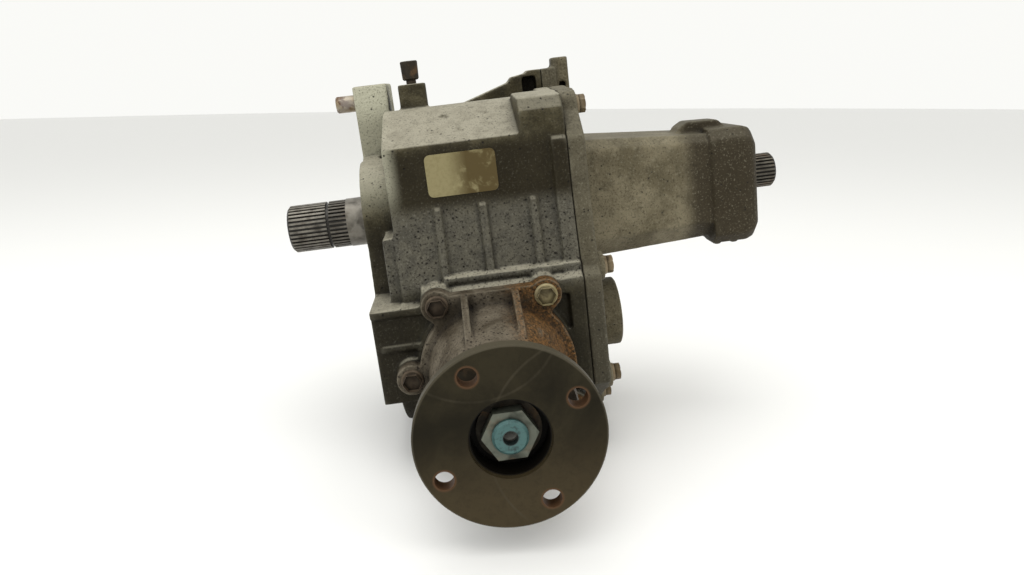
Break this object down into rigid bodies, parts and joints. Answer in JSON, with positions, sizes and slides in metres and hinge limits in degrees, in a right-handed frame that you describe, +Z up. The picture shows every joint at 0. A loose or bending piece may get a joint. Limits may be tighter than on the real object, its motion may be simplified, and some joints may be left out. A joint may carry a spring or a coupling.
{
  "type": "front differential transfer unit",
  "caption": "Bevel-gear transfer unit for a front differential: ribbed two-part case, hollow splined input, geared countershaft and bevel pinion with a bolted companion flange.",
  "frame": {"origin": "on the input shaft's axis, in the plane of the mounting face on the main case", "axes": "+X along the input shaft towards the extension housing, +Y to the rear, so the companion flange faces -Y, and +Z up"},
  "size_m": [0.4, 0.33, 0.3005],
  "materials": {
    "main_case": "sand-cast, oxidised and oily",
    "extension_housing": "sand-cast, oxidised",
    "pinion_housing": "cast, oily and rusty",
    "companion_flange": "forged and turned, dark and oily",
    "dust_deflector": "pressed sheet, rusty",
    "lock_nut": "plated, worn",
    "pinion_shaft": "machined",
    "input_shaft": "ground, slightly stained",
    "intermediate_shaft": "ground, oily",
    "gears": "ground",
    "bearing_steel": "ground and polished",
    "roller_sets": "rollers in a pressed cage",
    "seals": "matt",
    "housing_bolts": "yellow zinc, worn",
    "cover_bolts": "yellow zinc, worn",
    "plugs": "plated, worn",
    "plug_washers": "soft",
    "mounting_dowel": "turned, rust-stained",
    "breather": "dark, oily",
    "small_steel": "plain"
  },
  "bodies": {
    "case": {"main_case": "main_case", "extension_housing": "extension_housing", "pinion_housing": "pinion_housing", "input_left_bearing_cup": "bearing_steel", "input_right_bearing_cup": "bearing_steel", "counter_left_bearing_cup": "bearing_steel", "counter_right_bearing_cup": "bearing_steel", "pinion_head_bearing_cup": "bearing_steel", "pinion_tail_bearing_cup": "bearing_steel", "support_bearing_outer_race": "bearing_steel", "support_snap_ring": "small_steel", "input_oil_seal": "seals", "hollow_shaft_seal": "seals", "output_oil_seal": "seals", "pinion_oil_seal": "seals", "mounting_dowel": "mounting_dowel", "joint_dowels": "small_steel", "breather_stem": "breather", "breather_cap": "breather", "housing_bolts": "housing_bolts", "upper_cover_bolts": "cover_bolts", "lower_cover_bolts": "cover_bolts", "filler_plug": "plugs", "filler_plug_washer": "plug_washers", "drain_plug": "plugs", "drain_plug_washer": "plug_washers", "housing_o_ring": "seals", "input_shim": "small_steel", "counter_shim": "small_steel"},
    "input_shaft_group": {"input_shaft": "input_shaft", "drive_gear": "gears", "input_left_bearing_cone": "bearing_steel", "input_right_bearing_cone": "bearing_steel"},
    "countershaft_group": {"countershaft": "gears", "driven_gear": "gears", "ring_gear": "gears", "ring_gear_bolts": "small_steel", "counter_left_bearing_cone": "bearing_steel", "counter_right_bearing_cone": "bearing_steel"},
    "pinion_group": {"pinion_shaft": "pinion_shaft", "pinion_head_bearing_cone": "bearing_steel", "pinion_tail_bearing_cone": "bearing_steel", "collapsible_spacer": "small_steel", "companion_flange": "companion_flange", "dust_deflector": "dust_deflector", "flange_washer": "small_steel", "lock_nut": "lock_nut"},
    "intermediate_shaft_group": {"intermediate_shaft": "intermediate_shaft", "support_bearing_inner_race": "bearing_steel"},
    "input_left_cage": {"input_left_bearing_rollers": "roller_sets"},
    "input_right_cage": {"input_right_bearing_rollers": "roller_sets"},
    "counter_left_cage": {"counter_left_bearing_rollers": "roller_sets"},
    "counter_right_cage": {"counter_right_bearing_rollers": "roller_sets"},
    "pinion_head_cage": {"pinion_head_bearing_rollers": "roller_sets"},
    "pinion_tail_cage": {"pinion_tail_bearing_rollers": "roller_sets"},
    "support_cage": {"support_bearing_rollers": "roller_sets"}
  },
  "joints": [
    {"name": "input_spin", "type": "hinge", "parent": "case", "child": "input_shaft_group", "pos_m": [0, 0, 0], "axis": [1, 0, 0], "continuous": true},
    {"name": "countershaft_spin", "type": "hinge", "parent": "case", "child": "countershaft_group", "pos_m": [0, 0, -0.1045], "axis": [1, 0, 0], "continuous": true},
    {"name": "pinion_spin", "type": "hinge", "parent": "case", "child": "pinion_group", "pos_m": [0.0872, 0, -0.1045], "axis": [0, -1, 0], "continuous": true},
    {"name": "intermediate_spin", "type": "hinge", "parent": "case", "child": "intermediate_shaft_group", "pos_m": [0, 0, 0], "axis": [1, 0, 0], "continuous": true},
    {"name": "input_left_cage_spin", "type": "hinge", "parent": "case", "child": "input_left_cage", "pos_m": [0.019, 0, 0], "axis": [1, 0, 0], "continuous": true},
    {"name": "input_right_cage_spin", "type": "hinge", "parent": "case", "child": "input_right_cage", "pos_m": [0.148, 0, 0], "axis": [1, 0, 0], "continuous": true},
    {"name": "counter_left_cage_spin", "type": "hinge", "parent": "case", "child": "counter_left_cage", "pos_m": [0.022, 0, -0.1045], "axis": [1, 0, 0], "continuous": true},
    {"name": "counter_right_cage_spin", "type": "hinge", "parent": "case", "child": "counter_right_cage", "pos_m": [0.18, 0, -0.1045], "axis": [1, 0, 0], "continuous": true},
    {"name": "pinion_head_cage_spin", "type": "hinge", "parent": "case", "child": "pinion_head_cage", "pos_m": [0.0872, -0.076, -0.1045], "axis": [0, -1, 0], "continuous": true},
    {"name": "pinion_tail_cage_spin", "type": "hinge", "parent": "case", "child": "pinion_tail_cage", "pos_m": [0.0872, -0.158, -0.1045], "axis": [0, -1, 0], "continuous": true},
    {"name": "support_cage_spin", "type": "hinge", "parent": "case", "child": "support_cage", "pos_m": [0.29, 0, 0], "axis": [1, 0, 0], "continuous": true}
  ],
  "couplings": [
    {"joint": "countershaft_spin", "follows": "input_spin", "ratio": -1.3913},
    {"joint": "pinion_spin", "follows": "input_spin", "ratio": 3.2464},
    {"joint": "input_left_cage_spin", "follows": "input_spin", "ratio": 0.41595},
    {"joint": "input_right_cage_spin", "follows": "input_spin", "ratio": 0.41595},
    {"joint": "counter_left_cage_spin", "follows": "input_spin", "ratio": -0.57871},
    {"joint": "counter_right_cage_spin", "follows": "input_spin", "ratio": -0.57871},
    {"joint": "pinion_head_cage_spin", "follows": "input_spin", "ratio": 1.3503},
    {"joint": "pinion_tail_cage_spin", "follows": "input_spin", "ratio": 1.3503},
    {"joint": "support_cage_spin", "follows": "intermediate_spin", "ratio": 0.39326}
  ]
}
